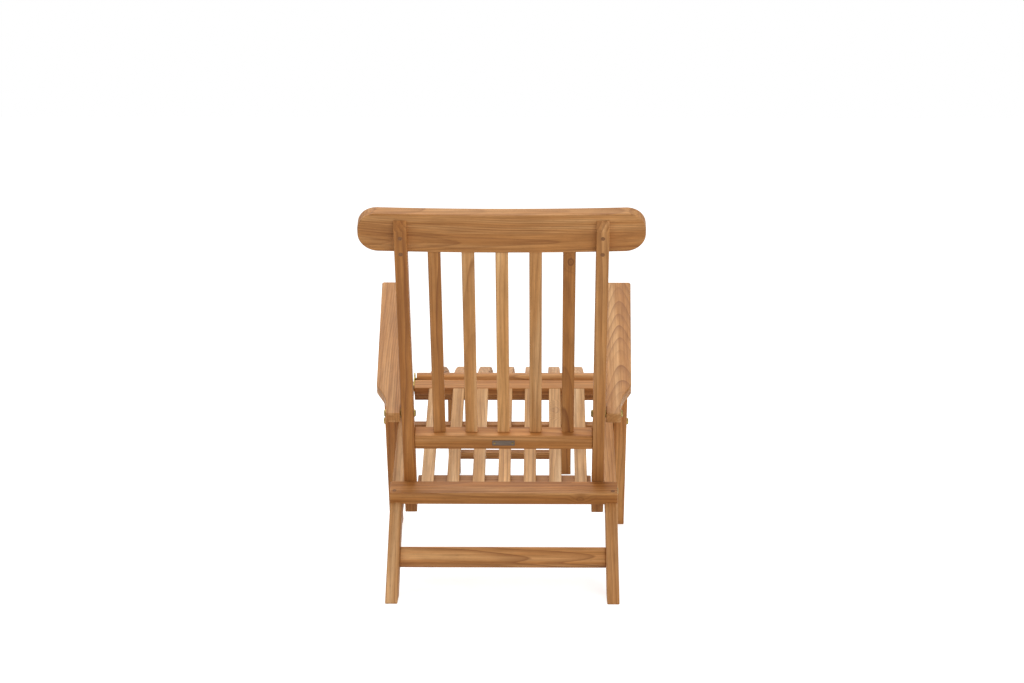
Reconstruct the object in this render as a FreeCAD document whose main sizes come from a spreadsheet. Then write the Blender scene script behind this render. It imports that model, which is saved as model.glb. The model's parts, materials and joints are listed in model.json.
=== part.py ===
import FreeCAD, Part
import math
import os
import re
import Sketcher
from FreeCAD import Vector

# Folding teak steamer chair, in millimetres.
# +Z is up, the sitter faces +Y and X runs across, +X on the sitter's right.
# The origin is on the floor, under the middle of the chair's outline.

# Driving sizes: name, value and what it is. Angles are in degrees.
DRIVING = [
    ("seat_slope", 18.6, "rise of the seat towards the knee"),
    ("rear_leg_slope", 39.8, "rise of the rear legs, from the floor forwards"),
    ("lean", 29.5, "lean of the back posts and front legs from upright"),
    ("arm_slope", 23.5, "rise of the arms towards the front"),
    ("edge_round", 2.5, "eased edges of every board"),
    ("play", 2.2, "side gap between pieces that turn on each other"),
    ("run", 0.06, "radial clearance round bolts and pins"),
    ("rest_gap", 0.4, "gap where a moving piece comes to rest"),
    ("bend_height", 180, "floor to the bend of the side rails"),
    ("rail_out", 264, "middle of the chair to the side rails' outer faces"),
    ("rail_thick", 28, "side rail thickness"),
    ("rail_depth", 46, "side rail depth"),
    ("rail_length", 603, "side rail from the bend to the knee"),
    ("bend_round", 48, "rounding over the bend"),
    ("hollow_round", 150, "rounding under the bend"),
    ("knee_round", 12, "rounding of the side rails' front corners"),
    ("back_pivot_along", 94.5, "bend to the back pivot along the side rail"),
    ("back_pivot_drop", 18, "back pivot below the rail's top edge"),
    ("leg_pivot_along", 436, "bend to the front leg pivot along the side rail"),
    ("leg_pivot_drop", 24, "front leg pivot below the rail's top edge"),
    ("rear_rail_wide", 56, "rear rail board width"),
    ("rear_rail_thick", 29.5, "rear rail board thickness"),
    ("rear_rail_sink", 4.5, "rear rail let into the side rails"),
    ("rear_rail_over", 1, "rear rail's overhang past the side rails"),
    ("slat_count", 7, "slats in the seat and in the footrest"),
    ("slat_wide", 29, "seat and footrest slat width"),
    ("slat_thick", 16, "seat slat thickness"),
    ("slat_pitch", 60.4, "slat spacing"),
    ("knee_wide", 43, "knee board width"),
    ("knee_thick", 20, "knee board thickness"),
    ("cross_wide", 35, "rear cross rail width"),
    ("cross_thick", 18, "seat cross rail thickness"),
    ("cross_rear", 128, "bend to the rear cross rail"),
    ("cross_middle", 400, "bend to the middle cross rail"),
    ("middle_wide", 21, "middle cross rail width"),
    ("front_wide", 28, "front cross rail width"),
    ("front_deep", 24, "front cross rail depth"),
    ("stretcher_up", 148, "heel to the middle of the stretcher along the rear leg"),
    ("stretcher_inset", 12, "stretcher below the rear leg's top edge"),
    ("stretcher_wide", 46, "stretcher width"),
    ("stretcher_thick", 20, "stretcher thickness"),
    ("post_thick", 28, "back post thickness"),
    ("post_depth", 40, "back post depth"),
    ("post_below", 50, "back post below the back pivot"),
    ("post_above", 789, "back post above the back pivot"),
    ("post_behind", 16, "post wood left behind the crest"),
    ("post_bevel", 20, "bevel on top of the posts"),
    ("crest_low", 704, "back pivot to the crest's lower edge"),
    ("crest_high", 100, "crest board height"),
    ("crest_wide", 627, "crest board length"),
    ("crest_thick", 28, "crest board thickness"),
    ("crest_bow", 8, "bow of the crest towards the rear"),
    ("crest_round", 44, "rounding of the crest's ends"),
    ("low_rail_up", 143, "back pivot to the lower back rail"),
    ("low_rail_high", 40, "lower back rail height"),
    ("low_rail_thick", 34, "lower back rail thickness"),
    ("low_rail_inset", 4, "lower back rail ahead of the posts' rear faces"),
    ("back_slat_count", 5, "slats in the back"),
    ("back_slat_wide", 28, "back slat width"),
    ("back_slat_thick", 14, "back slat thickness"),
    ("back_slat_inset", 17, "back slats ahead of the posts' rear faces"),
    ("back_slat_pitch", 74, "back slat spacing"),
    ("plate_long", 52, "label plate length"),
    ("plate_high", 15, "label plate height"),
    ("plate_thick", 1.5, "label plate thickness"),
    ("plate_screw", 2.2, "label plate screw head radius"),
    ("plate_screw_high", 0.9, "label plate screw head height"),
    ("plate_screw_edge", 5, "label plate screw to the plate's end"),
    ("arm_pivot_up", 239, "back pivot to the arm pivot along the post"),
    ("arm_thick", 25, "arm board thickness"),
    ("arm_tail", 20, "arm behind its pivot"),
    ("arm_reach", 557, "arm ahead of its pivot"),
    ("neck_wide", 33.5, "arm neck width"),
    ("neck_reach", 40, "arm pivot to where the neck would meet the slanting edge"),
    ("arm_corner", 98, "arm pivot to the wide corner"),
    ("arm_wide", 60.5, "arm width at the wide corner"),
    ("arm_front", 72, "arm's outer edge at the front from the neck's inner edge"),
    ("arm_toe", 11, "arm's inner edge at the front from the neck's inner edge"),
    ("arm_hollow", 135, "hollow curve of the arm's outer edge"),
    ("arm_round", 6, "rounding of the arm's front corners"),
    ("arm_bend", 30, "rounding of the arm's wide corner"),
    ("cleat_thick", 18, "notched cleat thickness"),
    ("cleat_inset", 9, "cleat from the arm's inner edge"),
    ("cleat_below", 12, "cleat below the pin"),
    ("cleat_ahead", 26, "cleat ahead of the pin"),
    ("cleat_notches", 3, "notches in a cleat"),
    ("notch_step", 44, "notch spacing"),
    ("leg_thick", 32, "front leg thickness"),
    ("leg_depth", 42, "front leg depth"),
    ("pin_radius", 5, "leg-top pin radius"),
    ("pin_gap", 0.3, "clearance round the leg-top pin in its notch"),
    ("bolt_radius", 4, "pivot bolt radius"),
    ("bolt_head", 8.5, "domed bolt head radius"),
    ("bolt_head_high", 4.5, "domed bolt head height"),
    ("bolt_head_round", 3.6, "rounding of the domed heads"),
    ("bolt_bed", 24, "depth of the leg bolts in the side rails"),
    ("washer_radius", 10, "washer radius"),
    ("washer_slack", 0.2, "side clearance of a washer in its gap"),
    ("foot_ahead", 23, "knee to the footrest pivot"),
    ("foot_drop", 11.5, "footrest pivot below the seat's plane"),
    ("foot_tilt", 4, "fall of the footrest where it starts"),
    ("foot_rail", 32, "footrest rear rail section"),
    ("foot_rail_half", 229, "middle to the end of the footrest's rear rail"),
    ("foot_rail_round", 13, "rounding of the footrest's rear rail towards the knee"),
    ("foot_length", 588, "footrest slat length"),
    ("foot_radius", 2900, "radius of the footrest's curve"),
    ("foot_slat_thick", 14, "footrest slat thickness"),
    ("bearer_thick", 24, "footrest bearer thickness"),
    ("bearer_depth", 36, "footrest bearer depth"),
    ("bearer_out", 196, "middle to the bearers' outer faces"),
    ("bearer_round", 14, "rounding of the bearers' lower corners at the knee"),
    ("foot_cross_at", 110, "rear rail to the footrest's middle cross rail"),
    ("foot_cross_wide", 32, "footrest cross rail width"),
    ("foot_cross_thick", 20, "footrest cross rail thickness"),
    ("foot_end_back", 8, "far cross rail behind the slats' ends"),
    ("foot_leg_back", 72, "leg pivot behind the slats' ends along the curve"),
    ("foot_leg_drop", 19, "leg pivot below the slats"),
    ("foot_leg_lean", 12.5, "lean of the footrest legs"),
    ("foot_leg_wide", 33, "footrest leg width across"),
    ("foot_leg_depth", 32, "footrest leg depth"),
    ("foot_bar_height", 46, "floor to the footrest leg rail"),
    ("foot_bar_high", 20, "footrest leg rail height"),
    ("foot_bar_thick", 24, "footrest leg rail thickness"),
    ("bracket_thick", 3, "footrest bracket thickness"),
    ("bracket_back", 52, "footrest bracket behind its pin"),
    ("bracket_half", 9, "footrest bracket half width at the rear"),
    ("bracket_eye", 18, "footrest bracket radius round its pin"),
    ("foot_pin_radius", 4, "footrest pin radius"),
    ("foot_pin_long", 20, "footrest pin length in the rear rail"),
]

# Places and sizes worked out from the driving ones.
DERIVED = [
    ("rail_in", "rail_out - rail_thick"),
    ("post_out", "rail_in - play"),
    ("post_in", "post_out - post_thick"),
    ("leg_in", "rail_out + play"),
    ("leg_out", "leg_in + leg_thick"),
    ("arm_in", "post_out + play"),
    ("bend_y", "bend_height / tan(rear_leg_slope * 1deg)"),
    ("bend_angle", "rear_leg_slope - seat_slope"),
    ("rear_leg_long", "bend_height / sin(rear_leg_slope * 1deg)"),
    ("foot_cut", "rail_depth / sin(rear_leg_slope * 1deg)"),
    ("stop_angle", "lean - seat_slope"),
    ("rear_rail_front", "back_pivot_along - post_depth / 2 / cos(stop_angle * 1deg)"
     " - (rear_rail_thick - rear_rail_sink + back_pivot_drop) * tan(stop_angle * 1deg) - rest_gap"),
    ("back_y", "bend_y + back_pivot_along * cos(seat_slope * 1deg)"
     " + back_pivot_drop * sin(seat_slope * 1deg)"),
    ("back_z", "bend_height + back_pivot_along * sin(seat_slope * 1deg)"
     " - back_pivot_drop * cos(seat_slope * 1deg)"),
    ("leg_y", "bend_y + leg_pivot_along * cos(seat_slope * 1deg) + leg_pivot_drop * sin(seat_slope * 1deg)"),
    ("leg_z", "bend_height + leg_pivot_along * sin(seat_slope * 1deg)"
     " - leg_pivot_drop * cos(seat_slope * 1deg)"),
    ("arm_y", "back_y - arm_pivot_up * sin(lean * 1deg)"),
    ("arm_z", "back_z + arm_pivot_up * cos(lean * 1deg)"),
    ("pin_along", "(leg_y - back_y) * cos(arm_slope * 1deg) + (leg_z - back_z) * sin(arm_slope * 1deg)"),
    ("pin_drop", "(leg_y - back_y) * sin(arm_slope * 1deg) - (leg_z - back_z) * cos(arm_slope * 1deg)"),
    ("crest_radius", "(crest_wide * crest_wide / 4 + crest_bow * crest_bow) / (2 * crest_bow)"),
    ("crest_bow_at_post", "sqrt(crest_radius * crest_radius - post_in * post_in) - crest_radius + crest_bow"),
    ("crest_back", "post_behind - post_depth / 2 + crest_bow_at_post"),
    ("foot_along", "rail_length + foot_ahead"),
    ("foot_y", "bend_y + foot_along * cos(seat_slope * 1deg) + foot_drop * sin(seat_slope * 1deg)"),
    ("foot_z", "bend_height + foot_along * sin(seat_slope * 1deg) - foot_drop * cos(seat_slope * 1deg)"),
    ("foot_start", "foot_rail / 2"),
    ("foot_sweep", "foot_length / foot_radius * 180 / pi"),
    ("foot_leg_turn", "(foot_length - foot_leg_back) / foot_radius * 180 / pi"),
    ("foot_leg_out", "bearer_out - bearer_thick - play"),
    ("foot_leg_in", "foot_leg_out - foot_leg_wide"),
    ("foot_leg_fall", "foot_slat_thick + foot_leg_drop"),
    ("foot_leg_local_y", "foot_start + (foot_radius - foot_leg_fall) * sin(foot_leg_turn * 1deg)"),
    ("foot_leg_local_z", "foot_start - foot_radius"
     " + (foot_radius - foot_leg_fall) * cos(foot_leg_turn * 1deg)"),
    ("foot_leg_y", "foot_y + foot_leg_local_y * cos(foot_tilt * 1deg)"
     " + foot_leg_local_z * sin(foot_tilt * 1deg)"),
    ("foot_leg_z", "foot_z - foot_leg_local_y * sin(foot_tilt * 1deg)"
     " + foot_leg_local_z * cos(foot_tilt * 1deg)"),
]

doc = FreeCAD.newDocument("steamer_chair")
sheet = doc.addObject("Spreadsheet::Sheet", "sizes")
for row, (alias, content, note) in enumerate(DRIVING, 1):
    sheet.set(f"A{row}", str(content))
    sheet.set(f"B{row}", note)
    sheet.setAlias(f"A{row}", alias)
for row, (alias, formula) in enumerate(DERIVED, len(DRIVING) + 1):
    sheet.set(f"A{row}", "=" + formula)
    sheet.setAlias(f"A{row}", alias)
CENTRE_ROW = len(DRIVING) + len(DERIVED) + 1
sheet.set(f"A{CENTRE_ROW}", "0")
sheet.setAlias(f"A{CENTRE_ROW}", "centre_y")
doc.recompute()

ALIASES = {row[0] for row in DRIVING + DERIVED} | {"centre_y"}
NODES = []


def bound(text):
    """Write an expression's size names as cells of the sheet."""
    return re.sub(r"[a-z_]+", lambda word: "sizes." + word[0] if word[0] in ALIASES else word[0], text)


def number(text):
    """Work out an expression now."""
    result = sheet.evalExpression(bound(text))
    return float(getattr(result, "Value", result))


def frame(name, y, z, turn):
    """Make a datum at y, z, turned about the X axis."""
    datum = doc.addObject("App::Placement", name)
    place = f"placement(vector(0; {y} + centre_y; {z}); rotation(vector(1; 0; 0); {turn}))"
    datum.setExpression("Placement", bound(place))
    return name


def settle(body, datum, x="0", y="0", z="0"):
    """Stand a body at a corner of a datum."""
    corner = f"placement(vector({bound(x)}; {bound(y)}; {bound(z)}); rotation(vector(1; 0; 0); 0))"
    body.setExpression("Placement", f"{datum}.Placement * {corner}")


def new_body(label, node=True):
    """Start a body, which is a node of its own unless it is one of a group."""
    body = doc.addObject("PartDesign::Body", label)
    body.Label = label
    if node:
        NODES.append(body)
    return body


def ease(body, radius="edge_round", pick=None):
    """Round the edges that pick accepts, or every edge."""
    fillet = body.newObject("PartDesign::Fillet", body.Name + "_round")
    tip = body.Tip if body.Tip != fillet else fillet.BaseFeature
    if pick is None:
        fillet.Base = (tip, ["Edge1"])
        fillet.UseAllEdges = True
    else:
        edges = [f"Edge{i}" for i, edge in enumerate(tip.Shape.Edges, 1) if pick(edge)]
        fillet.Base = (tip, edges)
    fillet.setExpression("Radius", bound(radius))
    body.Tip = fillet
    doc.recompute()


def board(label, datum, corner, size, node=True, rounded="edge_round"):
    """Make a straight board of a size, with its low corner in a datum."""
    body = new_body(label, node)
    block = body.newObject("PartDesign::AdditiveBox", label + "_block")
    for side, length in zip(("Length", "Width", "Height"), size):
        block.setExpression(side, bound(length))
    doc.recompute()
    ease(body, rounded)
    settle(body, datum, *corner)
    return body


def outline(body, plane, corners, thickness, arcs=None):
    """Pad a closed outline. arcs gives an edge's radius and 1 or -1 for a bulge to its left or right."""
    arcs = arcs or {}
    sketch = body.newObject("Sketcher::SketchObject", body.Name + "_outline")
    sketch.AttachmentSupport = ([part for part in body.Origin.OriginFeatures if part.Role == plane][0], [""])
    sketch.MapMode = "FlatFace"
    points = [Vector(number(x), number(y), 0) for x, y in corners]
    starts = []
    for edge, start in enumerate(points):
        end = points[(edge + 1) % len(points)]
        if edge not in arcs:
            sketch.addGeometry(Part.LineSegment(start, end))
            starts.append((1, 2))
            continue
        radius, bulge = arcs[edge]
        chord = end - start
        rise = number(radius) - math.sqrt(number(radius) ** 2 - chord.Length ** 2 / 4)
        left = Vector(-chord.y, chord.x, 0).normalize()
        middle = (start + end) * 0.5 + left * rise * bulge
        sketch.addGeometry(Part.Arc(start, middle, end))
        starts.append((2, 1) if bulge > 0 else (1, 2))
    for edge, (_, end) in enumerate(starts):
        after = (edge + 1) % len(points)
        sketch.addConstraint(Sketcher.Constraint("Coincident", edge, end, after, starts[after][0]))
    for edge, (x, y) in enumerate(corners):
        for way, text, at in (("DistanceX", x, points[edge].x), ("DistanceY", y, points[edge].y)):
            index = sketch.addConstraint(Sketcher.Constraint(way, -1, 1, edge, starts[edge][0], at))
            sketch.setExpression(f"Constraints[{index}]", bound(text))
    for edge, (radius, _) in arcs.items():
        index = sketch.addConstraint(Sketcher.Constraint("Radius", edge, number(radius)))
        sketch.setExpression(f"Constraints[{index}]", bound(radius))
    pad = body.newObject("PartDesign::Pad", body.Name + "_pad")
    pad.Profile = sketch
    pad.setExpression("Length", bound(thickness))
    doc.recompute()


def corner_at(axis, *spots):
    """Pick the straight edges along an axis that pass through given spots of the other two axes."""
    others = [other for other in "xyz" if other != axis]
    places = [[number(text) for text in spot] for spot in spots]

    def pick(edge):
        ends = [vertex.Point for vertex in edge.Vertexes]
        if len(ends) != 2:
            return False
        along = ends[1] - ends[0]
        if abs(getattr(along, axis)) < 0.99 * along.Length:
            return False
        middle = (ends[0] + ends[1]) * 0.5
        here = [getattr(middle, other) for other in others]
        return any(math.dist(here, place) < 0.01 for place in places)
    return pick


def bore(body, radius, y, z, long, start="0"):
    """Cut a hole along X through a body, at y, z of its own frame."""
    before = body.Shape.Volume
    hole = body.newObject("PartDesign::SubtractiveCylinder", body.Name + "_bore")
    hole.setExpression("Radius", bound(radius))
    hole.setExpression("Height", bound(long))
    place = f"placement(vector({start}; {y}; {z}); rotation(vector(0; 1; 0); 90))"
    hole.setExpression("Placement", bound(place))
    body.Tip = hole
    doc.recompute()
    if body.Shape.Volume >= before:
        raise RuntimeError(f"the hole in {body.Label} cuts nothing")


def rod(label, datum, start, y, z, long, radius, heads=()):
    """Make a bolt or pin along X, with a domed head at the ends named in heads: start, end."""
    body = new_body(label, False)
    shank = body.newObject("PartDesign::AdditiveCylinder", label + "_shank")
    shank.setExpression("Radius", bound(radius))
    shank.setExpression("Height", bound(long))
    for end in heads:
        head = body.newObject("PartDesign::AdditiveCylinder", label + "_" + end)
        head.setExpression("Radius", bound("bolt_head"))
        head.setExpression("Height", bound("bolt_head_high"))
        low = "-bolt_head_high" if end == "start" else long
        place = f"placement(vector(0; 0; {low}); rotation(vector(0; 0; 1); 0))"
        head.setExpression("Placement", bound(place))
        doc.recompute()
        rim = number("-bolt_head_high" if end == "start" else f"{long} + bolt_head_high")
        ease(body, "bolt_head_round",
             lambda edge: len(edge.Vertexes) == 1 and abs(edge.CenterOfMass.z - rim) < 0.01)
    doc.recompute()
    turn = f"placement(vector({bound(start)}; {bound(y)}; {bound(z)}); rotation(vector(0; 1; 0); 90))"
    body.setExpression("Placement", f"{datum}.Placement * {turn}")
    return body


def washer(label, datum, start, y, z, thickness):
    """Make a flat washer along X round a pivot bolt."""
    body = rod(label, datum, start, y, z, thickness, "washer_radius")
    hole = body.newObject("PartDesign::SubtractiveCylinder", label + "_hole")
    hole.setExpression("Radius", bound("bolt_radius + run"))
    hole.setExpression("Height", bound(thickness))
    body.Tip = hole
    return body


def group(label, bodies):
    """Gather identical fasteners in one node of separate solids."""
    compound = doc.addObject("Part::Compound", label)
    compound.Label = label
    compound.Links = bodies
    NODES.append(compound)


def sided(side, low, thickness):
    """Give the low X of a piece whose inner face is at low, on the right (1) or the left (-1)."""
    return low if side > 0 else f"-({low}) - ({thickness})"


SIDES = (("left", -1), ("right", 1))

seat = frame("seat_datum", "bend_y", "bend_height", "seat_slope")
rear_leg = frame("rear_leg_datum", "0", "0", "rear_leg_slope")
back = frame("back_datum", "back_y", "back_z", "lean")
arm = frame("arm_datum", "arm_y", "arm_z", "arm_slope")
front_leg = frame("front_leg_datum", "leg_y", "leg_z", "lean")
footrest = frame("footrest_datum", "foot_y", "foot_z", "-foot_tilt")
foot_leg = frame("foot_leg_datum", "foot_leg_y", "foot_leg_z", "foot_leg_lean")


# Seat frame: each side rail runs from the knee to the bend and on down to the floor as the rear leg.
def make_side_rail(name, side):
    body = new_body("side_rail_" + name)
    heel = ("-rear_leg_long * cos(bend_angle * 1deg)", "-rear_leg_long * sin(bend_angle * 1deg)")
    toe = (heel[0] + " + foot_cut * cos(seat_slope * 1deg)", heel[1] + " - foot_cut * sin(seat_slope * 1deg)")
    hollow = ("rail_depth * tan(bend_angle / 2 * 1deg)", "-rail_depth")
    knee_low = ("rail_length", "-rail_depth")
    knee_top = ("rail_length", "0")
    bend = ("0", "0")
    outline(body, "YZ_Plane", [heel, toe, hollow, knee_low, knee_top, bend], "rail_thick")
    ease(body, "bend_round", corner_at("x", bend))
    ease(body, "hollow_round", corner_at("x", hollow))
    ease(body, "knee_round", corner_at("x", knee_low, knee_top))
    ease(body)
    bore(body, "bolt_radius + run", "back_pivot_along", "-back_pivot_drop", "rail_thick")
    housing = body.newObject("PartDesign::SubtractiveBox", body.Name + "_housing")
    housing.setExpression("Length", bound("rail_thick"))
    housing.setExpression("Width", bound("rear_rail_wide"))
    housing.setExpression("Height", bound("rear_rail_thick"))
    corner = ("placement(vector(0; rear_rail_front - rear_rail_wide; -rear_rail_sink);"
              " rotation(vector(1; 0; 0); 0))")
    housing.setExpression("Placement", bound(corner))
    body.Tip = housing
    blind = "0" if side < 0 else "rail_thick - bolt_bed"
    bore(body, "bolt_radius + run", "leg_pivot_along", "-leg_pivot_drop", "bolt_bed", blind)
    settle(body, seat, sided(side, "rail_in", "rail_thick"))


for side_name, side_sign in SIDES:
    make_side_rail(side_name, side_sign)

board("rear_rail", seat,
      ("-rail_out - rear_rail_over", "rear_rail_front - rear_rail_wide", "-rear_rail_sink"),
      ("2 * (rail_out + rear_rail_over)", "rear_rail_wide", "rear_rail_thick"))
board("rear_stretcher", rear_leg, ("-rail_in", "stretcher_up - stretcher_wide / 2",
                                   "-stretcher_inset - stretcher_thick"),
      ("2 * rail_in", "stretcher_wide", "stretcher_thick"))


# The rear cross rail stops short of the posts, which fold down past its ends.
board("seat_cross_rail_rear", seat, ("-post_in + rest_gap", "cross_rear", "-slat_thick - cross_thick"),
      ("2 * (post_in - rest_gap)", "cross_wide", "cross_thick"))
board("seat_cross_rail_middle", seat, ("-rail_in", "cross_middle", "-slat_thick - cross_thick"),
      ("2 * rail_in", "middle_wide", "cross_thick"))
board("seat_cross_rail_front", seat, ("-rail_in + bracket_thick", "rail_length - front_wide",
                                      "-knee_thick - front_deep"),
      ("2 * (rail_in - bracket_thick)", "front_wide", "front_deep"))
board("knee_board", seat, ("-rail_in + bracket_thick", "rail_length - knee_wide", "-knee_thick"),
      ("2 * (rail_in - bracket_thick)", "knee_wide", "knee_thick"))

SLATS = int(number("slat_count"))
for slat in range(SLATS):
    across = f"({slat} - (slat_count - 1) / 2) * slat_pitch - slat_wide / 2"
    board(f"seat_slat_{slat + 1}", seat, (across, "rear_rail_front", "-slat_thick"),
          ("slat_wide", "rail_length - knee_wide - rear_rail_front", "slat_thick"))


# Back: two posts with the crest let into their fronts, a lower rail and upright slats.
def make_post(name, side):
    body = new_body("back_post_" + name)
    rear = "-post_depth / 2"
    behind = "post_behind - post_depth / 2"
    corners = [(rear, "-post_below"), ("post_depth / 2", "-post_below"), ("post_depth / 2", "crest_low"),
               (behind, "crest_low"), (behind, "post_above"), (rear, "post_above - post_bevel")]
    outline(body, "YZ_Plane", corners, "post_thick")
    ease(body, "edge_round", corner_at("z", ("0", rear), ("post_thick", rear)))
    bore(body, "bolt_radius + run", "0", "0", "post_thick")
    bore(body, "bolt_radius + run", "0", "arm_pivot_up", "post_thick")
    settle(body, back, sided(side, "post_in", "post_thick"))


def make_crest():
    body = new_body("crest_board")
    half = "crest_wide / 2"
    corners = [(f"-{half}", "0"), (half, "0"), (half, "crest_thick"), (f"-{half}", "crest_thick")]
    outline(body, "XY_Plane", corners, "crest_high", {0: ("crest_radius", -1), 2: ("crest_radius", 1)})
    ends = [(x, z) for x in (f"-{half}", half) for z in ("0", "crest_high")]
    spots = [(number(x), number(z)) for x, z in ends]

    def end_corner(edge):
        middle = edge.CenterOfMass
        return any(math.dist((middle.x, middle.z), spot) < 0.01 for spot in spots)
    ease(body, "crest_round", end_corner)
    ease(body)
    settle(body, back, "0", "crest_back", "crest_low")


for side_name, side_sign in SIDES:
    make_post(side_name, side_sign)
make_crest()
LOW_RAIL_BACK = "low_rail_inset - post_depth / 2"
board("lower_back_rail", back, ("-post_in", LOW_RAIL_BACK, "low_rail_up"),
      ("2 * post_in", "low_rail_thick", "low_rail_high"))
BACK_SLATS = int(number("back_slat_count"))
for slat in range(BACK_SLATS):
    across = f"({slat} - (back_slat_count - 1) / 2) * back_slat_pitch - back_slat_wide / 2"
    board(f"back_slat_{slat + 1}", back,
          (across, "back_slat_inset - post_depth / 2", "low_rail_up + low_rail_high"),
          ("back_slat_wide", "back_slat_thick", "crest_low - low_rail_up - low_rail_high"))

PLATE_MIDDLE = "low_rail_up + low_rail_high / 2"
board("label_plate", back, ("-plate_long / 2", LOW_RAIL_BACK + " - plate_thick",
                            PLATE_MIDDLE + " - plate_high / 2"),
      ("plate_long", "plate_thick", "plate_high"), rounded="plate_thick / 4")


def make_plate_screw(name, side):
    body = new_body("plate_screw_" + name, False)
    head = body.newObject("PartDesign::AdditiveCylinder", body.Name + "_head")
    head.setExpression("Radius", bound("plate_screw"))
    head.setExpression("Height", bound("plate_screw_high"))
    x = f"{side} * (plate_long / 2 - plate_screw_edge)"
    y = LOW_RAIL_BACK + " - plate_thick"
    turn = f"placement(vector({x}; {y}; {PLATE_MIDDLE}); rotation(vector(1; 0; 0); 90))"
    body.setExpression("Placement", f"{back}.Placement * {bound(turn)}")
    return body


group("label_plate_screws", [make_plate_screw(*side) for side in SIDES])


# Arms: flat boards with a narrow neck on the posts and a notched cleat over the leg pins.
def make_arm(name, side):
    body = new_body("arm_" + name)
    corners = [("0", "-arm_tail"), (f"{side} * neck_wide", "-arm_tail"),
               (f"{side} * neck_wide", "neck_reach"), (f"{side} * arm_wide", "arm_corner"),
               (f"{side} * arm_front", "arm_reach"), (f"{side} * arm_toe", "arm_reach")]
    outline(body, "XY_Plane", corners, "arm_thick")
    ease(body, "arm_hollow", corner_at("z", corners[2]))
    ease(body, "arm_round", corner_at("z", corners[4], corners[5]))
    ease(body, "arm_bend", corner_at("z", corners[3]))
    ease(body)
    reach = "neck_wide" if side > 0 else "0"
    bore(body, "bolt_radius + run", "0", "arm_thick / 2", "neck_wide", f"{reach} - neck_wide")
    settle(body, arm, f"{side} * arm_in", "0", "-arm_thick / 2")


def make_cleat(name, side):
    """The cleat hangs under the arm. Each notch is open below and holds the pin at its top."""
    body = new_body("arm_cleat_" + name)
    notches = int(number("cleat_notches"))
    low = "-pin_drop - cleat_below"
    roof = "pin_radius + pin_gap"
    rear = f"pin_along - {notches - 1} * notch_step - cleat_ahead"
    corners = [("pin_along + cleat_ahead", "-arm_thick / 2"), (rear, "-arm_thick / 2"), (rear, low)]
    for notch in reversed(range(notches)):
        middle = f"pin_along - {notch} * notch_step"
        corners += [(f"{middle} - ({roof})", low), (f"{middle} - ({roof})", f"-pin_drop + {roof}"),
                    (f"{middle} + ({roof})", f"-pin_drop + {roof}"), (f"{middle} + ({roof})", low)]
    corners.append(("pin_along + cleat_ahead", low))
    outline(body, "YZ_Plane", corners, "cleat_thick")
    settle(body, arm, sided(side, "arm_in + cleat_inset", "cleat_thick"))


for side_name, side_sign in SIDES:
    make_arm(side_name, side_sign)
    make_cleat(side_name, side_sign)


# Front legs: each turns on its side rail and carries the arm on a pin at its rounded top.
def make_front_leg(name, side):
    body = new_body("front_leg_" + name)
    half = "leg_depth / 2"
    top = f"arm_pivot_up + {half}"
    corners = [(f"-{half}", f"-(leg_z - {half} * sin(lean * 1deg)) / cos(lean * 1deg)"),
               (half, f"-(leg_z + {half} * sin(lean * 1deg)) / cos(lean * 1deg)"),
               (half, top), (f"-{half}", top)]
    outline(body, "YZ_Plane", corners, "leg_thick")
    ease(body, "0.45 * leg_depth", corner_at("x", corners[2], corners[3]))
    ease(body)
    bore(body, "bolt_radius + run", "0", "0", "leg_thick")
    bore(body, "pin_radius + run", "0", "arm_pivot_up", "leg_thick")
    settle(body, front_leg, sided(side, "leg_in", "leg_thick"))


def make_leg_pin(name, side):
    inner = "arm_in + cleat_inset"
    long = f"leg_out - ({inner})"
    pin = rod("leg_top_pin_" + name, front_leg, sided(side, inner, long), "0", "arm_pivot_up", long,
              "pin_radius")
    NODES.append(pin)


for side_name, side_sign in SIDES:
    make_front_leg(side_name, side_sign)
    make_leg_pin(side_name, side_sign)

# Pivot bolts and the washers in the gaps beside them.
BACK_BOLT = "rail_out + rest_gap - (post_in - rest_gap)"
ARM_BOLT = "arm_in + neck_wide + rest_gap - (post_in - rest_gap)"
LEG_BOLT = "leg_out + rest_gap - (rail_out - bolt_bed)"
back_bolts = []
arm_bolts = []
leg_bolts = []
seat_washers = []
arm_washers = []
THIN = "play - 2 * washer_slack"
for side_name, side_sign in SIDES:
    inner, outer = ("start", "end") if side_sign > 0 else ("end", "start")
    back_bolts.append(rod("back_bolt_" + side_name, seat, sided(side_sign, "post_in - rest_gap", BACK_BOLT),
                          "back_pivot_along", "-back_pivot_drop", BACK_BOLT, "bolt_radius", (inner, outer)))
    arm_bolts.append(rod("arm_bolt_" + side_name, back, sided(side_sign, "post_in - rest_gap", ARM_BOLT),
                         "0", "arm_pivot_up", ARM_BOLT, "bolt_radius", (inner, outer)))
    leg_bolts.append(rod("leg_bolt_" + side_name, seat, sided(side_sign, "rail_out - bolt_bed", LEG_BOLT),
                         "leg_pivot_along", "-leg_pivot_drop", LEG_BOLT, "bolt_radius", (outer,)))
    seat_washers.append(washer("back_washer_" + side_name, seat,
                               sided(side_sign, "post_out + washer_slack", THIN),
                               "back_pivot_along", "-back_pivot_drop", THIN))
    seat_washers.append(washer("leg_washer_" + side_name, seat,
                               sided(side_sign, "rail_out + washer_slack", THIN),
                               "leg_pivot_along", "-leg_pivot_drop", THIN))
    arm_washers.append(washer("arm_washer_" + side_name, back,
                              sided(side_sign, "post_out + washer_slack", THIN),
                              "0", "arm_pivot_up", THIN))
group("back_pivot_bolts", back_bolts)
group("arm_pivot_bolts", arm_bolts)
group("leg_pivot_bolts", leg_bolts)
group("seat_pivot_washers", seat_washers)
group("arm_pivot_washers", arm_washers)


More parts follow.
